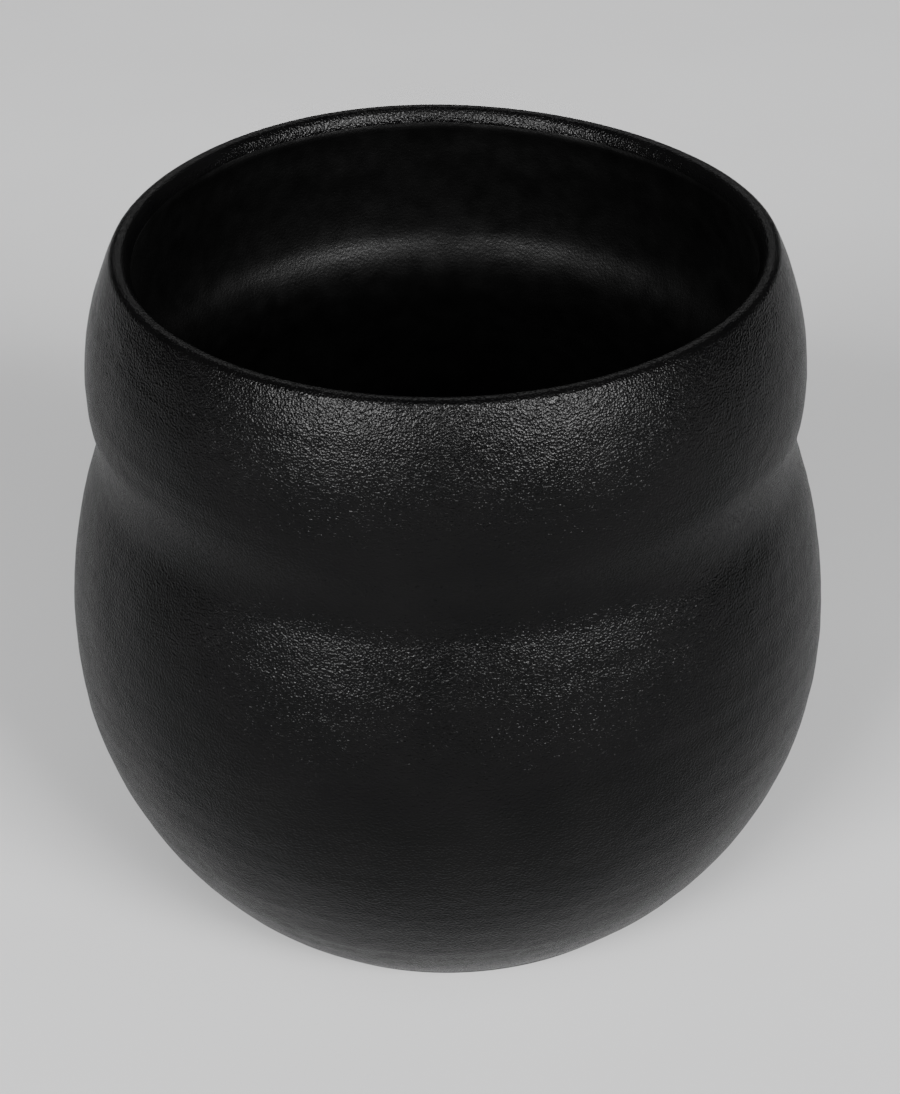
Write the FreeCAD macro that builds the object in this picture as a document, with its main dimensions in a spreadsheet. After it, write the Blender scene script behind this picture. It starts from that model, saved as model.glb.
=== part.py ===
import FreeCAD, Part
import math
import os
import Sketcher

# Empty double-bulge stoneware candle jar: a fired clay wall and foot, a textured glaze on the
# outside and a smooth glaze inside. Every wall follows one line of tangent arcs, and each coat
# is an offset of that line. Origin at the centre of the foot, +Z up, millimetres.

DRIVING = [
    ("belly_radius", 48.0, "outside radius at the widest point of the lower bulge"),
    ("belly_height", 36.0, "height of that widest point above the table"),
    ("shoulder_arc", 67.0, "radius of the flatter curve above it"),
    ("waist_radius", 43.0, "outside radius at the waist"),
    ("waist_arc", 14.5, "radius of the hollow curve of the waist"),
    ("collar_radius", 43.6, "outside radius at the widest point of the upper bulge"),
    ("collar_low_arc", 15.5, "radius of the upper bulge below that point"),
    ("collar_top_arc", 38.5, "radius of the upper bulge above that point"),
    ("rim_height", 88.0, "top of the rounded lip"),
    ("wall", 4.0, "whole wall thickness, clay and both coats"),
    ("coat", 0.4, "thickness of each glaze coat"),
    ("glaze_line", 1.6, "height where the outside glaze stops above the foot"),
    ("seam_angle", 25.0, "where the two coats meet, in degrees above level on the inner lip"),
    ("floor_height", 5.4, "inside floor above the table"),
    ("floor_arc", 9.0, "radius between the inside floor and the wall"),
    ("foot_width", 4.5, "width of the bare foot ring"),
    ("foot_recess", 1.4, "depth of the hollow under the foot"),
    ("recess_slope", 35.0, "slope of the wall of that hollow, in degrees from upright"),
    ("foot_round", 0.7, "rounding of both edges of the foot ring"),
]
SIZE = {name: value for name, value, note in DRIVING}
PROFILE_PLANE = "XZ_Plane"
SEAM = math.radians(SIZE["seam_angle"])

# ---------------------------------------------------------------- document and sheet

doc = FreeCAD.newDocument("candle_jar")
sheet = doc.addObject("Spreadsheet::Sheet", "sizes")
for row, (name, value, note) in enumerate(DRIVING, start=1):
    sheet.set(f"A{row}", name)
    sheet.set(f"B{row}", str(value))
    sheet.set(f"C{row}", note)
    sheet.setAlias(f"B{row}", name)
doc.recompute()


# ---------------------------------------------------------------- the wall line

def arc_line():
    """Centre, radius at the outside surface, and end angles of each arc, from belly to lip."""
    belly = (0.0, SIZE["belly_height"])
    shoulder = (SIZE["belly_radius"] - SIZE["shoulder_arc"], SIZE["belly_height"])
    waist_x = SIZE["waist_radius"] + SIZE["waist_arc"]
    reach = SIZE["shoulder_arc"] + SIZE["waist_arc"]
    waist = (waist_x, shoulder[1] + math.sqrt(reach**2 - (waist_x - shoulder[0])**2))
    collar_x = SIZE["collar_radius"] - SIZE["collar_low_arc"]
    reach = SIZE["collar_low_arc"] + SIZE["waist_arc"]
    collar_z = waist[1] + math.sqrt(reach**2 - (waist_x - collar_x)**2)
    collar_low = (collar_x, collar_z)
    collar_top = (SIZE["collar_radius"] - SIZE["collar_top_arc"], collar_z)
    lip_z = SIZE["rim_height"] - SIZE["wall"] / 2
    reach = SIZE["collar_top_arc"] - SIZE["wall"] / 2
    lip = (collar_top[0] + math.sqrt(reach**2 - (lip_z - collar_z)**2), lip_z)
    return {"belly": belly, "shoulder": shoulder, "waist": waist,
            "collar_low": collar_low, "collar_top": collar_top, "lip": lip}


def direction(start, end):
    """Angle of the line from one centre to another."""
    return math.atan2(end[1] - start[1], end[0] - start[0])


CENTRE = arc_line()
WAIST_IN = direction(CENTRE["shoulder"], CENTRE["waist"])
WAIST_OUT = direction(CENTRE["collar_low"], CENTRE["waist"])
LIP_START = direction(CENTRE["collar_top"], CENTRE["lip"])
SIDES = [
    # name, sheet cell of its radius, sign of the offset, lower angle, upper angle
    ("shoulder", "shoulder_arc", -1, 0.0, WAIST_IN),
    ("waist", "waist_arc", 1, math.pi + WAIST_OUT, math.pi + WAIST_IN),
    ("collar_low", "collar_low_arc", -1, WAIST_OUT, 0.0),
    ("collar_top", "collar_top_arc", -1, 0.0, LIP_START),
]


def on_arc(name, radius, angle):
    """Point of an arc in the sketch plane."""
    x, z = CENTRE[name]
    return FreeCAD.Vector(x + radius * math.cos(angle), z + radius * math.sin(angle), 0)


# ---------------------------------------------------------------- sketch helpers

def new_sketch(body, name):
    """Sketch on the upright plane through the jar's axis."""
    sketch = body.newObject("Sketcher::SketchObject", name)
    planes = [p for p in body.Origin.OriginFeatures if p.Role == PROFILE_PLANE]
    sketch.AttachmentSupport = [(planes[0], "")]
    sketch.MapMode = "FlatFace"
    return sketch


def add_arc(sketch, name, radius, low, high):
    """Arc about one of the shared centres, always drawn counter-clockwise."""
    x, z = CENTRE[name]
    circle = Part.Circle(FreeCAD.Vector(x, z, 0), FreeCAD.Vector(0, 0, 1), radius)
    return sketch.addGeometry(Part.ArcOfCircle(circle, low, high), False)


def add_line(sketch, start, end):
    return sketch.addGeometry(Part.LineSegment(start, end), False)


def fix(sketch, kind, places, value, expression):
    """Dimension that follows the sheet."""
    index = sketch.addConstraint(Sketcher.Constraint(kind, *places, value))
    sketch.setExpression(f"Constraints[{index}]", expression)


def tie(sketch, kind, *places):
    sketch.addConstraint(Sketcher.Constraint(kind, *places))


def add_wall(sketch, offset, cell_offset, belly_start, lip_low, lip_high):
    """One run of tangent arcs from belly to lip, a given distance inside the outer surface.

    Returns the geometry numbers of the belly arc, the lip arc and the lip's free end.
    """
    inner = offset > SIZE["wall"] / 2
    belly = add_arc(sketch, "belly", SIZE["belly_radius"] - offset, belly_start, 0.0)
    fix(sketch, "Radius", (belly,), SIZE["belly_radius"] - offset, f"sizes.belly_radius - ({cell_offset})")
    tie(sketch, "PointOnObject", belly, 3, -2)
    fix(sketch, "DistanceY", (-1, 1, belly, 3), SIZE["belly_height"], "sizes.belly_height")
    arcs = {}
    below, below_end = belly, 2
    for name, cell, sign, low, high in SIDES:
        radius = SIZE[cell] + sign * offset
        arc = add_arc(sketch, name, radius, low, high)
        fix(sketch, "Radius", (arc,), radius, f"sizes.{cell} {'+' if sign > 0 else '-'} ({cell_offset})")
        start, end = (2, 1) if name == "waist" else (1, 2)
        tie(sketch, "Tangent", below, below_end, arc, start)
        arcs[name] = arc
        below, below_end = arc, end
    tie(sketch, "Horizontal", belly, 3, arcs["shoulder"], 3)
    tie(sketch, "Horizontal", arcs["collar_low"], 3, arcs["collar_top"], 3)
    waist_x = CENTRE["waist"][0]
    fix(sketch, "DistanceX", (-1, 1, arcs["waist"], 3), waist_x, "sizes.waist_radius + sizes.waist_arc")
    equator = SIZE["collar_radius"] - offset
    fix(sketch, "DistanceX", (-1, 1, arcs["collar_low"], 2), equator,
        f"sizes.collar_radius - ({cell_offset})")
    radius = abs(SIZE["wall"] / 2 - offset)
    lip = add_arc(sketch, "lip", radius, lip_low, lip_high)
    cell = f"({cell_offset}) - sizes.wall / 2" if inner else f"sizes.wall / 2 - ({cell_offset})"
    fix(sketch, "Radius", (lip,), radius, cell)
    joined, free = (2, 1) if inner else (1, 2)
    tie(sketch, "Tangent", below, below_end, lip, joined)
    return belly, lip, free


def hold_lip(sketch, lip):
    """Keep the lip's centre at its height below the rim."""
    fix(sketch, "DistanceY", (-1, 1, lip, 3), CENTRE["lip"][1], "sizes.rim_height - sizes.wall / 2")


def add_floor(sketch, belly, offset, height_cell, height, arc_cell, arc):
    """Inside floor: a curve off the belly arc and a level line to the axis."""
    reach = SIZE["belly_radius"] - offset - arc
    centre_z = height + arc
    drop = SIZE["belly_height"] - centre_z
    centre_x = math.sqrt(reach**2 - drop**2)
    low_angle = -math.pi / 2
    high_angle = -math.asin(drop / reach)
    circle = Part.Circle(FreeCAD.Vector(centre_x, centre_z, 0), FreeCAD.Vector(0, 0, 1), arc)
    bend = sketch.addGeometry(Part.ArcOfCircle(circle, low_angle, high_angle), False)
    level = add_line(sketch, FreeCAD.Vector(0, height, 0), FreeCAD.Vector(centre_x, height, 0))
    tie(sketch, "Tangent", belly, 1, bend, 2)
    tie(sketch, "Tangent", bend, 1, level, 2)
    fix(sketch, "Radius", (bend,), arc, arc_cell)
    tie(sketch, "Horizontal", level)
    tie(sketch, "PointOnObject", level, 1, -2)
    fix(sketch, "DistanceY", (-1, 1, level, 1), height, height_cell)
    return level


def floor_angle(offset, height, arc):
    """Angle on the belly arc where the floor curve takes over."""
    reach = SIZE["belly_radius"] - offset - arc
    return -math.asin((SIZE["belly_height"] - height - arc) / reach)


def seam(sketch, inner_lip, inner_end, outer_lip, outer_end, inner_offset, outer_offset):
    """Short radial line where two coats meet on the inside of the lip."""
    angle = math.pi - SEAM
    half = SIZE["wall"] / 2
    start = on_arc("lip", abs(half - inner_offset), angle)
    end = on_arc("lip", abs(half - outer_offset), angle)
    line = add_line(sketch, start, end)
    tie(sketch, "Coincident", line, 1, inner_lip, inner_end)
    tie(sketch, "Coincident", line, 2, outer_lip, outer_end)
    tie(sketch, "PointOnObject", inner_lip, 3, line)
    index = sketch.addConstraint(Sketcher.Constraint("Angle", line, angle))
    sketch.setExpression(f"Constraints[{index}]", "(180 - sizes.seam_angle) * 1deg")


def turn(body, sketch, name):
    """Turn a profile all the way round the jar's axis."""
    solid = body.newObject("PartDesign::Revolution", name)
    solid.Profile = sketch
    solid.ReferenceAxis = (sketch, ["V_Axis"])
    solid.Angle = 360
    return solid


def new_body(name, label):
    body = doc.addObject("PartDesign::Body", name)
    body.Label = label
    body.Placement = FreeCAD.Placement(FreeCAD.Vector(0, 0, 0), FreeCAD.Rotation())
    return body


# ---------------------------------------------------------------- clay body

def clay_body():
    """Fired stoneware: wall, rounded lip, floor and bare foot ring."""
    coat = SIZE["coat"]
    inner_offset = SIZE["wall"] - coat
    inner_cell = "sizes.wall - sizes.coat"
    body = new_body("ClayBody", "clay_body")
    sketch = new_sketch(body, "ClayProfile")

    foot_angle = -math.asin(SIZE["belly_height"] / (SIZE["belly_radius"] - coat))
    belly, lip, top = add_wall(sketch, coat, "sizes.coat", foot_angle, LIP_START, math.pi / 2)
    hold_lip(sketch, lip)
    tie(sketch, "Vertical", lip, 3, lip, top)

    floor_z = SIZE["floor_height"] - coat
    floor_arc = SIZE["floor_arc"] + coat
    start = floor_angle(inner_offset, floor_z, floor_arc)
    inner_belly, inner_lip, inner_top = add_wall(
        sketch, inner_offset, inner_cell, start, math.pi / 2, math.pi + LIP_START)
    tie(sketch, "Coincident", inner_lip, inner_top, lip, top)
    level = add_floor(sketch, inner_belly, inner_offset, "sizes.floor_height - sizes.coat", floor_z,
                      "sizes.floor_arc + sizes.coat", floor_arc)

    foot_x = math.sqrt((SIZE["belly_radius"] - coat)**2 - SIZE["belly_height"]**2)
    ring_x = foot_x - SIZE["foot_width"]
    recess_x = ring_x - SIZE["foot_recess"] * math.tan(math.radians(SIZE["recess_slope"]))
    corners = [FreeCAD.Vector(foot_x, 0, 0), FreeCAD.Vector(ring_x, 0, 0),
               FreeCAD.Vector(recess_x, SIZE["foot_recess"], 0),
               FreeCAD.Vector(0, SIZE["foot_recess"], 0), FreeCAD.Vector(0, floor_z, 0)]
    ring, slope, roof, core = [add_line(sketch, a, b) for a, b in zip(corners, corners[1:])]
    tie(sketch, "Coincident", ring, 1, belly, 1)
    tie(sketch, "Coincident", slope, 1, ring, 2)
    tie(sketch, "Coincident", roof, 1, slope, 2)
    tie(sketch, "Coincident", core, 1, roof, 2)
    tie(sketch, "Coincident", core, 2, level, 1)
    tie(sketch, "PointOnObject", ring, 1, -1)
    tie(sketch, "PointOnObject", ring, 2, -1)
    tie(sketch, "Horizontal", roof)
    tie(sketch, "PointOnObject", roof, 2, -2)
    fix(sketch, "DistanceX", (ring, 2, ring, 1), SIZE["foot_width"], "sizes.foot_width")
    fix(sketch, "DistanceX", (slope, 2, slope, 1), ring_x - recess_x,
        "sizes.foot_recess * tan(sizes.recess_slope * 1deg)")
    fix(sketch, "DistanceY", (-1, 1, roof, 2), SIZE["foot_recess"], "sizes.foot_recess")

    shell = turn(body, sketch, "ClayTurned")
    doc.recompute()
    edges = [f"Edge{number}" for number, edge in enumerate(shell.Shape.Edges, start=1)
             if edge.BoundBox.ZMax < 1e-6 and edge.BoundBox.XLength > ring_x]
    rounding = body.newObject("PartDesign::Fillet", "FootRounding")
    rounding.Base = (shell, edges)
    rounding.setExpression("Radius", "sizes.foot_round")
    shell.Visibility = False
    return body, sketch


# ---------------------------------------------------------------- glaze coats

def outer_glaze():
    """Textured coat from the glaze line, up both bulges and over the lip."""
    coat = SIZE["coat"]
    body = new_body("OuterGlaze", "outer_glaze")
    sketch = new_sketch(body, "OuterGlazeProfile")
    start = -math.asin((SIZE["belly_height"] - SIZE["glaze_line"]) / SIZE["belly_radius"])
    end = math.pi - SEAM
    belly, lip, free = add_wall(sketch, 0.0, "0", start, LIP_START, end)
    hold_lip(sketch, lip)
    under_belly, under_lip, under_free = add_wall(sketch, coat, "sizes.coat", start, LIP_START, end)
    hold_lip(sketch, under_lip)
    seam(sketch, under_lip, under_free, lip, free, coat, 0.0)
    edge = add_line(sketch, on_arc("belly", SIZE["belly_radius"] - coat, start),
                    on_arc("belly", SIZE["belly_radius"], start))
    tie(sketch, "Coincident", edge, 1, under_belly, 1)
    tie(sketch, "Coincident", edge, 2, belly, 1)
    tie(sketch, "PointOnObject", belly, 3, edge)
    fix(sketch, "DistanceY", (-1, 1, edge, 2), SIZE["glaze_line"], "sizes.glaze_line")
    turn(body, sketch, "OuterGlazeTurned")
    return body, sketch


def inner_glaze():
    """Smooth coat from the seam on the lip, down the inside and across the floor."""
    coat = SIZE["coat"]
    wall = SIZE["wall"]
    body = new_body("InnerGlaze", "inner_glaze")
    sketch = new_sketch(body, "InnerGlazeProfile")
    start = floor_angle(wall, SIZE["floor_height"], SIZE["floor_arc"])
    seam_start = math.pi - SEAM
    lip_end = math.pi + LIP_START
    face, face_lip, face_free = add_wall(sketch, wall, "sizes.wall", start, seam_start, lip_end)
    hold_lip(sketch, face_lip)
    face_floor = add_floor(sketch, face, wall, "sizes.floor_height", SIZE["floor_height"],
                           "sizes.floor_arc", SIZE["floor_arc"])
    back, back_lip, back_free = add_wall(sketch, wall - coat, "sizes.wall - sizes.coat", start,
                                         seam_start, lip_end)
    hold_lip(sketch, back_lip)
    back_floor = add_floor(sketch, back, wall - coat, "sizes.floor_height - sizes.coat",
                           SIZE["floor_height"] - coat, "sizes.floor_arc + sizes.coat",
                           SIZE["floor_arc"] + coat)
    seam(sketch, back_lip, back_free, face_lip, face_free, wall - coat, wall)
    core = add_line(sketch, FreeCAD.Vector(0, SIZE["floor_height"] - coat, 0),
                    FreeCAD.Vector(0, SIZE["floor_height"], 0))
    tie(sketch, "Coincident", core, 1, back_floor, 1)
    tie(sketch, "Coincident", core, 2, face_floor, 1)
    turn(body, sketch, "InnerGlazeTurned")
    return body, sketch


# ---------------------------------------------------------------- build, check and write

PARTS = [clay_body(), outer_glaze(), inner_glaze()]
doc.recompute()

for item in doc.Objects:
    if "Invalid" in item.State or "Error" in item.State:
        raise RuntimeError(f"{item.Name} did not recompute: {item.State}")
for body, sketch in PARTS:
    if not sketch.FullyConstrained:
        raise RuntimeError(f"{sketch.Name} is not fully constrained")
    if body.Shape.isNull() or not body.Shape.isValid() or len(body.Shape.Solids) != 1:
        raise RuntimeError(f"{body.Label} is not one sound solid")

os.makedirs("parts", exist_ok=True)
for body, sketch in PARTS:
    body.Shape.exportStep(f"parts/{body.Label}.step")
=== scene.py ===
"""Looks of the empty candle jar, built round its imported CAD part.

The three pieces are turned from the wall line that the CAD part has: a run of tangent arcs from the
foot to the lip. Only the lip differs: it is crisper outside, eased inside and a little thinner.
Lengths are in millimetres until a mesh is made, and MM turns them into metres. The studio round the
jar is in metres.
"""

import math

import bpy
import numpy as np
from mathutils import Matrix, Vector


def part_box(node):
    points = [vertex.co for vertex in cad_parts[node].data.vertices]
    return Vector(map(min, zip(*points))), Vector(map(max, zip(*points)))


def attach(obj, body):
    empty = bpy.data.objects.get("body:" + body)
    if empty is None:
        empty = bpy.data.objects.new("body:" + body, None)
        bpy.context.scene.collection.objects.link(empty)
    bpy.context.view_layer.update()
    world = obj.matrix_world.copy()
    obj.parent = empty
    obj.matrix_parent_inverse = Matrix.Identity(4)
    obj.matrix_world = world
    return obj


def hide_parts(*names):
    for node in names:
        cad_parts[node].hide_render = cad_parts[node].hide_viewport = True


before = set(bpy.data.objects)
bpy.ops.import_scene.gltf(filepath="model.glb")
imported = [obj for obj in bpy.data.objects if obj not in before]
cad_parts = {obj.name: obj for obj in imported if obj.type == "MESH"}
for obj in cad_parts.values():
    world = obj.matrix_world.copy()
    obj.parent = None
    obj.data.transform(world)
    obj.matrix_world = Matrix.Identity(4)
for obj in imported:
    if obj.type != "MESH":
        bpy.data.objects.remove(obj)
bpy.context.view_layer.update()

# ---------------------------------------------------------------- sizes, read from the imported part

BELLY = 48.0            # outside radius at the widest point, the length that sets the scale
node_points = np.array([v.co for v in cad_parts["outer_glaze"].data.vertices])
MM = float(np.hypot(node_points[:, 0], node_points[:, 1]).max()) / BELLY
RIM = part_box("outer_glaze")[1].z / MM
GLAZE_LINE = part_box("outer_glaze")[0].z / MM
FLOOR_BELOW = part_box("inner_glaze")[0].z / MM

WALL = 4.0              # the wall's whole thickness, with both coats
COAT = 0.4              # the thickness of each glaze coat
FLOOR_TOP = FLOOR_BELOW + COAT
BELLY_AT = (0.0, 36.0)  # centre of the lower bulge's arc
SHOULDER_ARC = 67.0     # the flatter arc from the belly up to the waist
WAIST_RADIUS = 43.0     # outside radius at the waist
WAIST_ARC = 14.5
COLLAR = 43.6           # outside radius of the upper bulge
COLLAR_LOW_ARC = 15.5
COLLAR_TOP_ARC = 38.5
FLOOR_ARC = 9.0         # the round between the inside floor and the wall
FOOT_OUT = 30.88        # the foot ring's outside and inside radius
FOOT_IN = 27.0
FOOT_ROUND = 0.7        # the round at its outside
RECESS_OUT = 25.66      # the recess inside the foot ring
RECESS_HIGH = 1.4

LIP_EDGE = 1.1          # the crisp outer edge of the lip
LIP_DROP = 2.2          # how far the lip eases down towards the inside
LIP_EASE = 1 / 0.9      # a little flatter than an ellipse
LIP_THIN = 0.9          # how much thinner than the CAD wall the lip is, taken from the inside
THIN_FROM = 79.0        # the thinning starts at this height and is whole at the next
THIN_WHOLE = 86.0
SEAM_TURN = math.radians(75)  # where the two coats meet, from the crest to the inside
HOLD = 0.01             # a ring this close to the seam keeps the shading true up to the edge

OUTSIDE_START = 0.30    # the outside coat's skin starts this far above the glaze line
BEAD_LOW = 0.16         # its thick lower edge: how far it stands out at the bottom,
BEAD_BACK = 0.10        # how far it is set back at the top,
BEAD_RISE = 0.08        # and how high its top is

FOOT_ROUND_TURN = math.radians(48)  # where that round meets the wall
BARE_FROM = 0.75        # the clay between these heights is in sight below the glaze line
BARE_TO = 4.0
HIDDEN_START = 0.02     # the outside coat's back starts this far above the glaze line

FINE_STEP = 0.6         # from one ring of points to the next, up the outside,
LIP_STEP = 0.5          # near the lip and at the foot,
EDGE_STEP = 0.15        # round the crisp edge,
FOOT_STEP = 0.12        # round the foot's edge,
INSIDE_STEP = 0.9       # up the inside,
INSIDE_LIP_STEP = 0.2   # at the lip's inside,
HIDDEN_STEP = 3.0       # and out of sight
HIDDEN_LIP_STEP = 0.7
AROUND_OUTER = 420      # points round each piece
AROUND_OTHERS = 400

# ---------------------------------------------------------------- the arcs' centres and turns


def leg(slant, base):
    """The other short side of a right-angled triangle."""
    return math.sqrt(slant**2 - base**2)


shoulder_at = (BELLY - SHOULDER_ARC, BELLY_AT[1])
waist_x = WAIST_RADIUS + WAIST_ARC
waist_at = (waist_x, BELLY_AT[1] + leg(SHOULDER_ARC + WAIST_ARC, waist_x - shoulder_at[0]))
collar_x = COLLAR - COLLAR_LOW_ARC
collar_z = waist_at[1] + leg(COLLAR_LOW_ARC + WAIST_ARC, waist_x - collar_x)
collar_low_at = (collar_x, collar_z)
collar_top_at = (COLLAR - COLLAR_TOP_ARC, collar_z)
lip_z = RIM - WALL / 2
lip_at = (collar_top_at[0] + leg(COLLAR_TOP_ARC - WALL / 2, lip_z - collar_z), lip_z)
WAIST_START = math.atan2(waist_at[1] - shoulder_at[1], waist_at[0] - shoulder_at[0])
WAIST_END = math.atan2(collar_z - waist_at[1], collar_x - waist_x)
LIP_START = math.atan2(lip_at[1] - collar_z, lip_at[0] - collar_top_at[0])

edge_start = math.asin((RIM - collar_top_at[1] - LIP_EDGE) / (COLLAR_TOP_ARC - LIP_EDGE))
edge_at = (collar_top_at[0] + (COLLAR_TOP_ARC - LIP_EDGE) * math.cos(edge_start), RIM - LIP_EDGE)
ease_end = math.pi + math.asin((lip_at[1] - RIM + LIP_DROP) / (WALL / 2))
lip_ease = edge_at[0] - lip_at[0] - WALL / 2 * math.cos(ease_end)


# ---------------------------------------------------------------- the wall line

def arc(centre, radius, start, end, step):
    """Points on an arc, about one step apart, both ends included."""
    count = max(2, int(math.ceil(abs(end - start) * radius / step)) + 1)
    turn = np.linspace(start, end, count)
    return np.stack([centre[0] + radius * np.cos(turn), centre[1] + radius * np.sin(turn)], 1)


def flat(start, end, height, count):
    """Points along a level line."""
    return np.stack([np.linspace(start, end, count), np.full(count, height)], 1)


def chain(*runs):
    """The runs as one line, without the doubled point where two meet."""
    line = [runs[0]]
    for run in runs[1:]:
        near = np.hypot(*(run[0] - line[-1][-1])) < 1e-6
        line.append(run[1:] if near else run)
    return np.concatenate(line)


def wall_line(inset, low, step, lip_step):
    """The wall up to where the lip begins, at an inset from the outside surface.

    It starts at the height low on the outside, and at the floor's edge on the inside.
    """
    if inset < WALL / 2:
        start = math.asin((low - BELLY_AT[1]) / (BELLY - inset))
        runs = [arc(BELLY_AT, BELLY - inset, start, 0.0, step)]
    else:
        fillet_z = FLOOR_TOP + FLOOR_ARC
        reach = BELLY - WALL - FLOOR_ARC
        tilt = math.asin((BELLY_AT[1] - fillet_z) / reach)
        fillet_at = (reach * math.cos(tilt), fillet_z)
        runs = [
            arc(fillet_at, FLOOR_ARC + WALL - inset, -math.pi / 2, -tilt, step),
            arc(BELLY_AT, BELLY - inset, -tilt, 0.0, step),
        ]
    runs += [
        arc(shoulder_at, SHOULDER_ARC - inset, 0.0, WAIST_START, step),
        arc(waist_at, WAIST_ARC + inset, WAIST_START + math.pi, WAIST_END, step),
        arc(collar_low_at, COLLAR_LOW_ARC - inset, WAIST_END - math.pi, 0.0, step),
        arc(collar_top_at, COLLAR_TOP_ARC - inset, 0.0, LIP_START, lip_step),
    ]
    return chain(*runs)


def smooth_step(low, high, value):
    """0 below low, 1 above high, and a smooth turn between them."""
    share = np.clip((value - low) / (high - low), 0.0, 1.0)
    return share * share * (3 - 2 * share)


def thin_lip(line):
    """The wall thins from the inside over its top few millimetres, towards the lip."""
    radius, height = line.T
    rise = np.clip(height - collar_z, 0.0, lip_at[1] - collar_z)
    middle = collar_top_at[0] + np.sqrt((COLLAR_TOP_ARC - WALL / 2)**2 - rise**2)
    inside = np.clip((middle - radius) / (WALL / 2), 0, 1)
    return np.stack([radius + LIP_THIN * inside * smooth_step(THIN_FROM, THIN_WHOLE, height), height], 1)


# How the jar is off true, in millimetres: (waves round the jar, cosine part, sine part).
BELLY_SWELL = ((2, -0.20, 0.10), (3, -0.11, -0.18), (4, 0.09, -0.22))
RIM_SWELL = ((2, 0.0, -0.13), (3, 0.13, 0.0), (4, 0.14, 0.06))
RIM_LIFT = ((2, -0.11, -0.17), (3, 0.09, 0.0))
TRUE_FOOT = 6.0                 # the wall is true at the foot, and off true from this height
BELLY_TO_RIM = (38.0, 89.0)     # between these heights one swell turns into the other
LIFT_HEIGHTS = (72.0, 88.0)     # the lift grows from none at the first to whole at the second
FLOOR_TRUE = 36.0               # the swell fades from this radius towards the axis


def off_true(turn, parts):
    """The sum of a few waves round the jar."""
    total = np.zeros(len(turn))
    for count, cosine, sine in parts:
        total += cosine * np.cos(count * turn)
        total += sine * np.sin(count * turn)
    return total


def hand_made(points):
    """The wall is a little out of round and its rim uneven. Every layer follows the same shape."""
    x, y, z = points.T
    reach = np.hypot(x, y)
    turn = np.arctan2(y, x)
    top = smooth_step(*BELLY_TO_RIM, z)
    low = (1 - top) * smooth_step(0.0, TRUE_FOOT, z)
    swell = low * off_true(turn, BELLY_SWELL) + top * off_true(turn, RIM_SWELL)
    grow = 1 + swell * smooth_step(0.0, FLOOR_TRUE, reach) / np.maximum(reach, 1.0)
    lift = off_true(turn, RIM_LIFT) * smooth_step(*LIFT_HEIGHTS, z)
    return np.stack([x * grow, y * grow, z + lift], 1)


def waves(points, length, count, seed):
    """A smooth random field about -1 to 1, with features about one length across."""
    rng = np.random.default_rng(seed)
    way = rng.normal(size=(count, 3))
    way /= np.linalg.norm(way, axis=1)[:, None]
    pace = 2 * math.pi / (length * rng.uniform(0.75, 1.35, count))
    phase = rng.uniform(0, 2 * math.pi, count)
    total = np.zeros(len(points))
    for direction, speed, start in zip(way, pace, phase):
        total += np.cos(points @ direction * speed + start)
    return total / math.sqrt(count)


RING_LENGTHS = (1.7, 2.3, 3.1, 4.4, 6.5)    # from one turning line to the next, in each set
ANY_TURN = 6.28


def turning_lines(points, seed):
    """Shallow rings left by turning: they drift a little round the jar and fade in places."""
    rng = np.random.default_rng(seed)
    turn = np.arctan2(points[:, 1], points[:, 0])
    height = points[:, 2]
    total = np.zeros(len(points))
    for length in RING_LENGTHS:
        drift = 0.25 * length * np.sin(turn + rng.uniform(0, ANY_TURN))
        drift = drift + 0.12 * length * np.sin(3 * turn + rng.uniform(0, ANY_TURN))
        fade = 0.6 + 0.4 * np.sin(2 * turn + height / 9.0 + rng.uniform(0, ANY_TURN))
        ring = np.sin(2 * math.pi * (height + drift) / length + rng.uniform(0, ANY_TURN))
        total += fade * ring * length / RING_LENGTHS[-1]
    return total


# ---------------------------------------------------------------- meshes

def facing(line, closed):
    """The way out of the piece at each point of its line."""
    before = np.roll(line, 1, 0) if closed else np.vstack([line[:1], line[:-1]])
    after = np.roll(line, -1, 0) if closed else np.vstack([line[1:], line[-1:]])
    along = after - before
    along /= np.maximum(np.linalg.norm(along, axis=1), 1e-9)[:, None]
    return np.stack([along[:, 1], -along[:, 0]], 1)


def turned(name, line, around, relief, closed=True):
    """A piece turned from a line of (radius, height) points, moved out or in by its relief.

    An open line starts and ends on the axis, and a closed one goes round a ring.
    """
    line = thin_lip(line)
    body = line if closed else line[1:-1]
    turn = np.linspace(0.0, 2 * math.pi, around, endpoint=False)
    rows = len(body)
    points = np.empty((rows, around, 3))
    points[..., 0] = body[:, None, 0] * np.cos(turn)
    points[..., 1] = body[:, None, 0] * np.sin(turn)
    points[..., 2] = body[:, None, 1]
    points = points.reshape(-1, 3)
    outward = facing(body, closed)
    depth = relief(points, np.repeat(body[:, 1], around), np.repeat(np.arange(rows), around))
    radial = np.repeat(outward[:, 0], around) * depth
    points[:, 0] += radial * np.tile(np.cos(turn), rows)
    points[:, 1] += radial * np.tile(np.sin(turn), rows)
    points[:, 2] += np.repeat(outward[:, 1], around) * depth
    faces = []
    ring = np.arange(around)
    following = (ring + 1) % around
    for row in range(rows if closed else rows - 1):
        low = row * around
        high = ((row + 1) % rows) * around
        faces.append(np.stack([low + ring, low + following, high + following, high + ring], 1))
    quads = np.concatenate(faces).tolist()
    if not closed:
        first, last = rows * around, rows * around + 1
        points = np.vstack([points, [[0, 0, line[0][1]], [0, 0, line[-1][1]]]])
        quads += np.stack([np.full(around, first), following, ring], 1).tolist()
        end = (rows - 1) * around
        quads += np.stack([np.full(around, last), end + ring, end + following], 1).tolist()
    points = hand_made(points) * MM
    mesh = bpy.data.meshes.new(name)
    mesh.from_pydata(points.tolist(), [], quads)
    mesh.polygons.foreach_set("use_smooth", np.ones(len(mesh.polygons), bool))
    mesh.update()
    piece = bpy.data.objects.new(name, mesh)
    bpy.context.scene.collection.objects.link(piece)
    return piece


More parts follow.
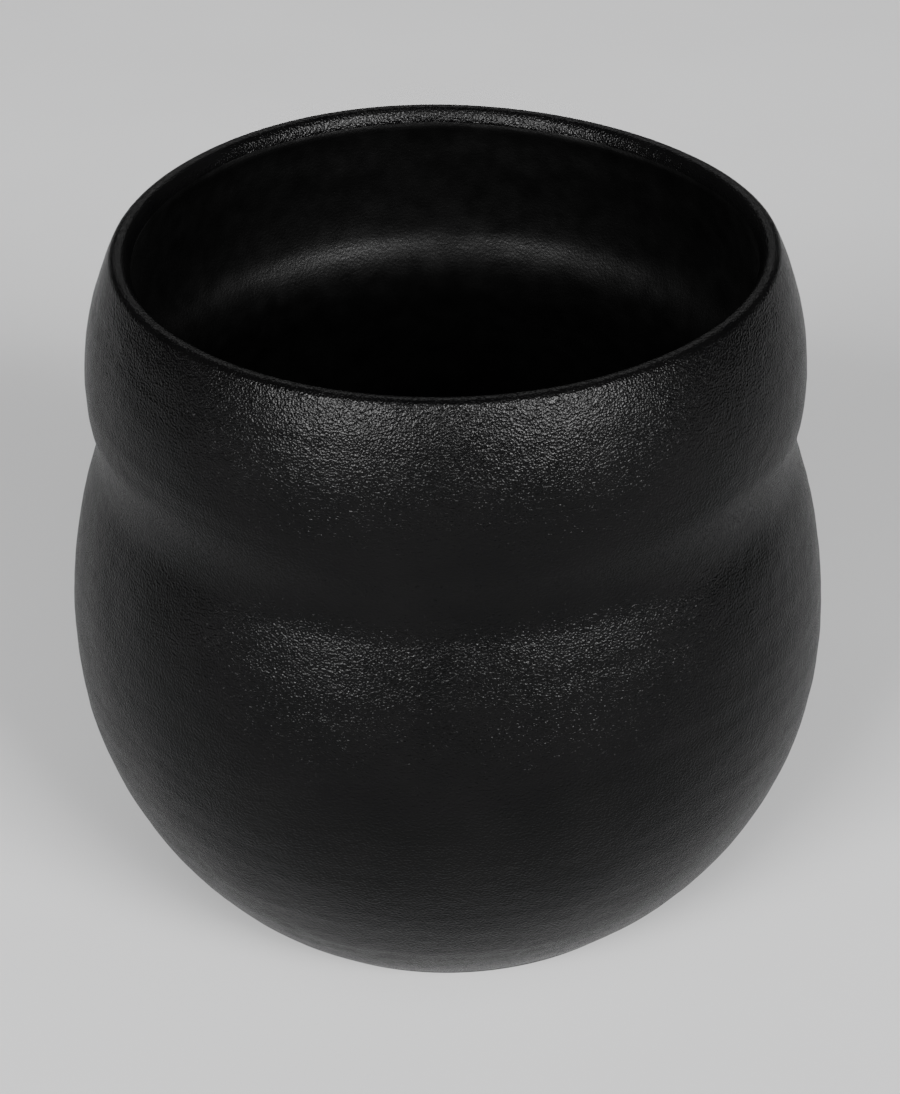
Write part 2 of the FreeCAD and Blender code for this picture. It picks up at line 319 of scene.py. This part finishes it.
# ---------------------------------------------------------------- the three pieces

def eased(start, end, count):
    """The lip from its crest, at 0, down to the inside wall, at a quarter turn."""
    turn = np.linspace(start, end, count)
    across = np.clip(np.sin(turn), 0, 1) ** LIP_EASE
    down = np.clip(np.cos(turn), 0, 1) ** LIP_EASE
    return np.stack([edge_at[0] - lip_ease * across, RIM - LIP_DROP + LIP_DROP * down], 1)


seam = eased(SEAM_TURN, SEAM_TURN, 1)[0]
seam_behind = math.atan2(seam[1] - lip_at[1], seam[0] - lip_at[0])


def outer_line():
    """The outside coat: up the outside, over the lip to the seam, and back behind the coat.

    Its second result is how many of the points are in sight.
    """
    shown = chain(
        wall_line(0.0, GLAZE_LINE + OUTSIDE_START, FINE_STEP, LIP_STEP),
        arc(collar_top_at, COLLAR_TOP_ARC, LIP_START, edge_start, LIP_STEP),
        arc(edge_at, LIP_EDGE, edge_start, math.pi / 2, EDGE_STEP),
        eased(0.0, SEAM_TURN - HOLD, 20),
        eased(SEAM_TURN - HOLD, SEAM_TURN, 2),
    )
    hidden = chain(
        arc(lip_at, WALL / 2 - COAT, seam_behind, LIP_START, HIDDEN_LIP_STEP),
        wall_line(COAT, GLAZE_LINE + HIDDEN_START, HIDDEN_STEP, HIDDEN_STEP)[::-1],
    )
    bead = [(hidden[-1][0] + BEAD_LOW, GLAZE_LINE), (shown[0][0] - BEAD_BACK, GLAZE_LINE + BEAD_RISE)]
    return np.vstack([shown, hidden, bead]), len(shown)


def inner_line():
    """The inside coat: out over the inside floor, up the wall to the seam, and back behind it.

    The line is turned round at the end, so that its faces look out. Its second result is how many
    of the points are in sight.
    """
    up = wall_line(WALL, 0.0, INSIDE_STEP, INSIDE_STEP)
    lip = chain(
        arc(lip_at, WALL / 2, LIP_START + math.pi, ease_end, INSIDE_LIP_STEP),
        eased(math.pi / 2, SEAM_TURN + HOLD, 6),
        eased(SEAM_TURN + HOLD, SEAM_TURN, 2),
    )
    shown = chain(flat(0.0, up[0][0], FLOOR_TOP, 24), up, lip)
    back_lip = arc(lip_at, WALL / 2 - COAT, seam_behind, LIP_START + math.pi, HIDDEN_LIP_STEP)
    behind = wall_line(WALL - COAT, 0.0, HIDDEN_STEP, HIDDEN_STEP)
    back_floor = flat(behind[0][0], 0.0, FLOOR_BELOW, 8)
    return chain(shown, back_lip, behind[::-1], back_floor)[::-1], len(shown)


def clay_line():
    """The clay: from the axis under the foot, up behind the coats, over the lip and down to the axis."""
    recess = flat(0.0, RECESS_OUT - 0.5, RECESS_HIGH, 22)
    corner = [(RECESS_OUT - 0.15, RECESS_HIGH - 0.05), (RECESS_OUT + 0.15, RECESS_HIGH - 0.25)]
    slope = np.linspace([RECESS_OUT + 0.35, RECESS_HIGH - 0.55], [FOOT_IN - 0.45, 0.22], 4)
    inside = [(FOOT_IN - 0.2, 0.06), (FOOT_IN + 0.1, 0.0)]
    ring = flat(FOOT_IN + 0.4, FOOT_OUT, 0.0, 9)
    outside = arc((FOOT_OUT, FOOT_ROUND), FOOT_ROUND, -math.pi / 2, -FOOT_ROUND_TURN, FOOT_STEP)
    wall = wall_line(COAT, BARE_FROM, LIP_STEP, HIDDEN_STEP)
    bare = wall[wall[:, 1] < BARE_TO]
    hidden = wall_line(COAT, BARE_TO + 0.4, HIDDEN_STEP, HIDDEN_STEP)
    lip = arc(lip_at, WALL / 2 - COAT, LIP_START, LIP_START + math.pi, HIDDEN_LIP_STEP)
    down = wall_line(WALL - COAT, 0.0, HIDDEN_STEP, HIDDEN_STEP)[::-1]
    floor = flat(down[-1][0], 0.0, FLOOR_BELOW, 8)
    foot = chain(recess, np.array(corner), slope, np.array(inside), ring, outside)
    return chain(foot, bare, hidden, lip, down, floor)


outer_points, outer_shown = outer_line()
inner_points, inner_shown = inner_line()

CALM_HEIGHTS = (84.5, 86.5)     # between these heights the outside relief fades towards the lip
CALM = 0.8                      # by this share
RIDGE_HEIGHTS = (58.0, 64.5, 69.5, 77.0)    # the inside ridge's start, crest, hollow and end
RIDGE = 0.16


def outer_relief(points, height, row):
    """Turning lines, shallow dents and coarse pebbles on the outside; none behind the coat."""
    shown = (row < outer_shown).astype(float)
    edge = smooth_step(GLAZE_LINE, GLAZE_LINE + 3.0, height)
    edge = edge * (1 - CALM * smooth_step(*CALM_HEIGHTS, height))
    rings = 0.018 * turning_lines(points, seed=5)
    dents = 0.030 * waves(points, 11.0, 40, seed=7)
    pebbles = 0.012 * waves(points, 2.2, 60, seed=9)
    return shown * edge * (rings + dents + pebbles)


def inner_relief(points, height, row):
    """A soft ridge above the waist, turning lines and shallow dents; none behind the coat."""
    shown = (row > len(inner_points) - 2 - inner_shown).astype(float)
    start, crest, hollow, end = RIDGE_HEIGHTS
    ridge = RIDGE * (smooth_step(start, crest, height) - 2 * smooth_step(crest, hollow, height)
                     + smooth_step(hollow, end, height))
    rings = 0.014 * turning_lines(points, seed=21)
    dents = 0.020 * waves(points, 13.0, 40, seed=23)
    return shown * (ridge + rings + dents)


def clay_relief(points, height, row):
    """A slightly rough foot that still stands flat."""
    shown = (height < 1.5).astype(float) * smooth_step(0.0, 0.3, height)
    return shown * 0.03 * waves(points, 1.6, 60, seed=31)


outer = turned("jar_outer_glaze", outer_points, AROUND_OUTER, outer_relief)
inner = turned("jar_inner_glaze", inner_points, AROUND_OTHERS, inner_relief, closed=False)
clay = turned("jar_clay_body", clay_line(), AROUND_OTHERS, clay_relief, closed=False)


# ---------------------------------------------------------------- materials

class Nodes:
    """Short calls that add shader nodes to one material."""

    def __init__(self, name):
        self.material = bpy.data.materials.new(name)
        self.material.use_nodes = True
        self.tree = self.material.node_tree
        self.tree.nodes.clear()
        self.shader = self.tree.nodes.new("ShaderNodeBsdfPrincipled")
        output = self.tree.nodes.new("ShaderNodeOutputMaterial")
        self.tree.links.new(self.shader.outputs["BSDF"], output.inputs["Surface"])
        self.place = self.tree.nodes.new("ShaderNodeTexCoord").outputs["Object"]

    def link(self, source, target):
        self.tree.links.new(source, target)

    def stretched(self, scale):
        """Object coordinates, stretched by a scale along each axis."""
        node = self.tree.nodes.new("ShaderNodeMapping")
        node.inputs["Scale"].default_value = scale
        self.link(self.place, node.inputs["Vector"])
        return node.outputs["Vector"]

    def noise(self, size, detail=2.0, roughness=0.5, distortion=0.0, place=None):
        """Noise with features about size millimetres across."""
        node = self.tree.nodes.new("ShaderNodeTexNoise")
        node.inputs["Scale"].default_value = 1 / (size * MM)
        node.inputs["Detail"].default_value = detail
        node.inputs["Roughness"].default_value = roughness
        node.inputs["Distortion"].default_value = distortion
        self.link(place or self.place, node.inputs["Vector"])
        return node.outputs["Fac"]

    def cells(self, size, smooth=0.6):
        """Rounded cells about size millimetres across."""
        node = self.tree.nodes.new("ShaderNodeTexVoronoi")
        node.feature = "SMOOTH_F1"
        node.inputs["Scale"].default_value = 1 / (size * MM)
        node.inputs["Smoothness"].default_value = smooth
        self.link(self.place, node.inputs["Vector"])
        return node.outputs["Distance"]

    def spread(self, value, new_low, new_high):
        """The middle of a noise's range, 0.3 to 0.7, spread over a new one and held at both ends."""
        node = self.tree.nodes.new("ShaderNodeMapRange")
        ends = {"From Min": 0.3, "From Max": 0.7, "To Min": new_low, "To Max": new_high}
        for name, number in ends.items():
            node.inputs[name].default_value = number
        self.link(value, node.inputs["Value"])
        return node.outputs["Result"]

    def ramp(self, value, *stops):
        """Colour from stops of (position, (r, g, b))."""
        node = self.tree.nodes.new("ShaderNodeValToRGB")
        elements = node.color_ramp.elements
        while len(elements) < len(stops):
            elements.new(0.5)
        for element, (position, colour) in zip(elements, stops):
            element.position = position
            element.color = (*colour, 1.0)
        self.link(value, node.inputs["Fac"])
        return node.outputs["Color"]

    def bump(self, height, depth, below=None):
        """A bump of depth millimetres, on top of the one below where there is one."""
        node = self.tree.nodes.new("ShaderNodeBump")
        node.inputs["Strength"].default_value = 1.0
        node.inputs["Distance"].default_value = depth * MM
        self.link(height, node.inputs["Height"])
        if below is not None:
            self.link(below, node.inputs["Normal"])
        return node.outputs["Normal"]


def textured_black_glaze():
    """Near-black and half matt, with a fine crinkled grain that follows the turning a little."""
    n = Nodes("textured_black_glaze")
    tone = n.noise(9.0, detail=4.0)
    rings = n.noise(0.30, detail=1.0, place=n.stretched((0.4, 0.4, 1.0)))
    grain = n.cells(0.27, smooth=0.3)
    fine = n.noise(0.17, detail=1.0, distortion=0.3)
    normal = n.bump(fine, 0.044, n.bump(grain, 0.058, n.bump(rings, 0.038)))
    shade = n.ramp(tone, (0.35, (0.0019, 0.0019, 0.0020)), (0.65, (0.0030, 0.0029, 0.0030)))
    n.link(shade, n.shader.inputs["Base Color"])
    n.link(n.spread(n.noise(1.8, detail=3.0), 0.12, 0.20), n.shader.inputs["Roughness"])
    n.link(normal, n.shader.inputs["Normal"])
    n.shader.inputs["Specular IOR Level"].default_value = 0.18
    return n.material


def smooth_black_glaze():
    """Black and satin, with a much softer surface."""
    n = Nodes("smooth_black_glaze")
    tone = n.noise(12.0, detail=3.0)
    waviness = n.noise(2.4, detail=3.0, place=n.stretched((0.5, 0.5, 1.0)))
    normal = n.bump(n.noise(0.35, detail=2.0), 0.05, n.bump(waviness, 0.06))
    shade = n.ramp(tone, (0.35, (0.0008, 0.0008, 0.0008)), (0.65, (0.0014, 0.0014, 0.0014)))
    n.link(shade, n.shader.inputs["Base Color"])
    n.link(n.spread(n.noise(3.0, detail=3.0), 0.38, 0.46), n.shader.inputs["Roughness"])
    n.link(normal, n.shader.inputs["Normal"])
    n.shader.inputs["Specular IOR Level"].default_value = 0.40
    return n.material


def bare_stoneware():
    """Dark unglazed clay, mottled and rough."""
    n = Nodes("bare_stoneware")
    tone = n.noise(1.4, detail=5.0, roughness=0.6)
    normal = n.bump(n.noise(0.3, detail=3.0), 0.05, n.bump(n.cells(0.5), 0.07))
    shade = n.ramp(tone, (0.30, (0.030, 0.026, 0.023)), (0.50, (0.062, 0.055, 0.049)),
                   (0.75, (0.105, 0.094, 0.083)))
    n.link(shade, n.shader.inputs["Base Color"])
    n.link(n.spread(tone, 0.78, 0.92), n.shader.inputs["Roughness"])
    n.link(normal, n.shader.inputs["Normal"])
    n.shader.inputs["IOR"].default_value = 1.45
    return n.material


for piece, node, finish, slot in (
    (outer, "outer_glaze", textured_black_glaze(), "textured_black_glaze"),
    (inner, "inner_glaze", smooth_black_glaze(), "smooth_black_glaze"),
    (clay, "clay_body", bare_stoneware(), "bare_stoneware"),
):
    piece.data.materials.append(finish)
    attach(piece, "root")
    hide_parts(node)

# ---------------------------------------------------------------- floor, light and camera

STUDIO = 1.9            # half the studio's width
FLOOR_Z = -0.00002      # just under the foot
SHADED_GLOSS_FLOOR_Z = -0.00001    # above the other sheet, which would shade it
PAPER = 0.83            # how light the floor is to the camera, and to the jar's gloss
# painted shade: the paper as the jar's gloss sees it is darker than the real paper, to dim its
# reflection in the glaze
SHADED_PAPER_IN_GLOSS = 0.38
BACKDROP = 0.86
AROUND_STAGE = 96
DOME_ROWS = 24
RAYS = ("camera", "diffuse", "glossy", "transmission", "shadow")


def stage_object(name, points, faces, material, seen):
    """A stage mesh, seen only by the kinds of ray that are named."""
    mesh = bpy.data.meshes.new(name)
    mesh.from_pydata(points, [], faces)
    mesh.materials.append(material)
    thing = bpy.data.objects.new(name, mesh)
    for kind in RAYS:
        setattr(thing, "visible_" + kind, kind in seen)
    bpy.context.scene.collection.objects.link(thing)


def paper(name, shade):
    """Plain paper, a little uneven in tone."""
    n = Nodes(name)
    light = tuple(shade * part for part in (1.0, 1.0, 1.006))
    dark = tuple(0.965 * part for part in light)
    n.link(n.ramp(n.noise(60.0, detail=2.0), (0.3, dark), (0.7, light)), n.shader.inputs["Base Color"])
    n.shader.inputs["Roughness"].default_value = 0.9
    n.shader.inputs["Specular IOR Level"].default_value = 0.1
    return n.material


def glow(name, strength):
    """An even pale light."""
    n = Nodes(name)
    n.shader.inputs["Base Color"].default_value = (0.0, 0.0, 0.0, 1.0)
    n.shader.inputs["Specular IOR Level"].default_value = 0.0
    n.shader.inputs["Emission Color"].default_value = (1.0, 1.0, 1.0, 1.0)
    n.shader.inputs["Emission Strength"].default_value = strength
    return n.material


def circle(radius, height):
    """Points round a level circle."""
    turns = np.linspace(0, 2 * math.pi, AROUND_STAGE, endpoint=False)
    return [(radius * math.cos(turn), radius * math.sin(turn), height) for turn in turns]


def disc(radius, height):
    """The points and the face of a level disc."""
    return circle(radius, height), [tuple(range(AROUND_STAGE))]


def dome(radius, height):
    """The points and faces of the upper half of a sphere, open at the bottom."""
    points = []
    for rise in np.linspace(0, math.pi / 2 * (1 - 1 / DOME_ROWS), DOME_ROWS):
        points += circle(radius * math.cos(rise), height + radius * math.sin(rise))
    points.append((0.0, 0.0, height + radius))
    faces = []
    for row in range(DOME_ROWS):
        low = row * AROUND_STAGE
        for k in range(AROUND_STAGE):
            side = (k + 1) % AROUND_STAGE
            if row < DOME_ROWS - 1:
                faces.append((low + k, low + side, low + AROUND_STAGE + side, low + AROUND_STAGE + k))
            else:
                faces.append((low + k, low + side, len(points) - 1))
    return points, faces


# Painted shade in the floor's reflection: the jar's gloss sees a darker copy of the paper than the
# camera does, so less floor light shows in the glaze.
stage_object("studio_floor", *disc(STUDIO, FLOOR_Z), paper("studio_paper", PAPER),
             seen=("camera", "diffuse", "transmission", "shadow"))
stage_object("studio_floor_shaded_in_gloss", *disc(STUDIO, SHADED_GLOSS_FLOOR_Z),
             paper("studio_paper_shaded_in_gloss", SHADED_PAPER_IN_GLOSS), seen=("glossy",))
stage_object("studio_backdrop", *dome(STUDIO, FLOOR_Z), glow("studio_glow", BACKDROP), seen=("camera",))

LIGHTS_AWAY = 2.4
AIM_AT = np.array([0.0, 0.0, RIM * MM * 0.6])
SOFTBOXES = (
    # name, azimuth (0 is the camera's side, 90 is +X), elevation, width, height, watts
    ("left_softbox", -34, 29, 0.90, 0.96, 60.0),
    ("right_softbox", 37, 29, 0.90, 0.96, 64.0),
    ("left_low_softbox", -50, 18, 0.64, 0.48, 6.0),
    ("right_low_softbox", 52, 18, 0.64, 0.48, 8.0),
    ("front_glow", 0, 26, 0.80, 0.48, 6.0),
    ("high_softbox", 4, 60, 1.80, 1.00, 10.0),
    ("back_softbox", 180, 34, 1.60, 1.00, 4.0),
)


def place(thing, x_axis, y_axis, z_axis, location):
    """Put a light or a camera in the scene, with its own axes along the given ones."""
    axes = Matrix(np.stack([x_axis, y_axis, z_axis], 1).tolist())
    thing.rotation_mode = "QUATERNION"
    thing.rotation_quaternion = axes.to_quaternion()
    thing.location = location
    bpy.context.scene.collection.objects.link(thing)


def soft_light(name, azimuth, elevation, width, height, power):
    """A soft rectangle of light that faces the jar."""
    data = bpy.data.lights.new(name, "AREA")
    data.shape = "RECTANGLE"
    data.size = width
    data.size_y = height
    data.energy = power
    a, e = math.radians(azimuth), math.radians(elevation)
    back = np.array([math.sin(a) * math.cos(e), -math.cos(a) * math.cos(e), math.sin(e)])
    side = np.array([math.cos(a), math.sin(a), 0.0])
    light = bpy.data.objects.new(name, data)
    place(light, side, np.cross(back, side), back, AIM_AT + back * LIGHTS_AWAY)


for softbox in SOFTBOXES:
    soft_light(*softbox)

world = bpy.data.worlds.new("studio")
world.use_nodes = True
background = world.node_tree.nodes["Background"]
background.inputs["Color"].default_value = (1.0, 1.0, 1.0, 1.0)
background.inputs["Strength"].default_value = 0.04
bpy.context.scene.world = world

# The camera's place and turn come from the fit of the jar's outline, in millimetres and radians.
CAMERA_AT = np.array([0.0, -251.359, 210.915])
PITCH, YAW, ROLL = 0.586460, 0.001320, -0.012121
camera_data = bpy.data.cameras.new("camera")
camera_data.sensor_width = 36.0
camera_data.lens = 77.355
camera_data.clip_start = 0.01
camera_data.clip_end = 20.0
camera = bpy.data.objects.new("camera", camera_data)
ahead = np.array([math.sin(YAW) * math.cos(PITCH), math.cos(YAW) * math.cos(PITCH), -math.sin(PITCH)])
right = np.cross(ahead, [0.0, 0.0, 1.0])
right /= np.linalg.norm(right)
up = np.cross(right, ahead)
right_rolled = math.cos(ROLL) * right + math.sin(ROLL) * up
up_rolled = -math.sin(ROLL) * right + math.cos(ROLL) * up
place(camera, right_rolled, up_rolled, -ahead, CAMERA_AT * MM)
bpy.context.scene.camera = camera
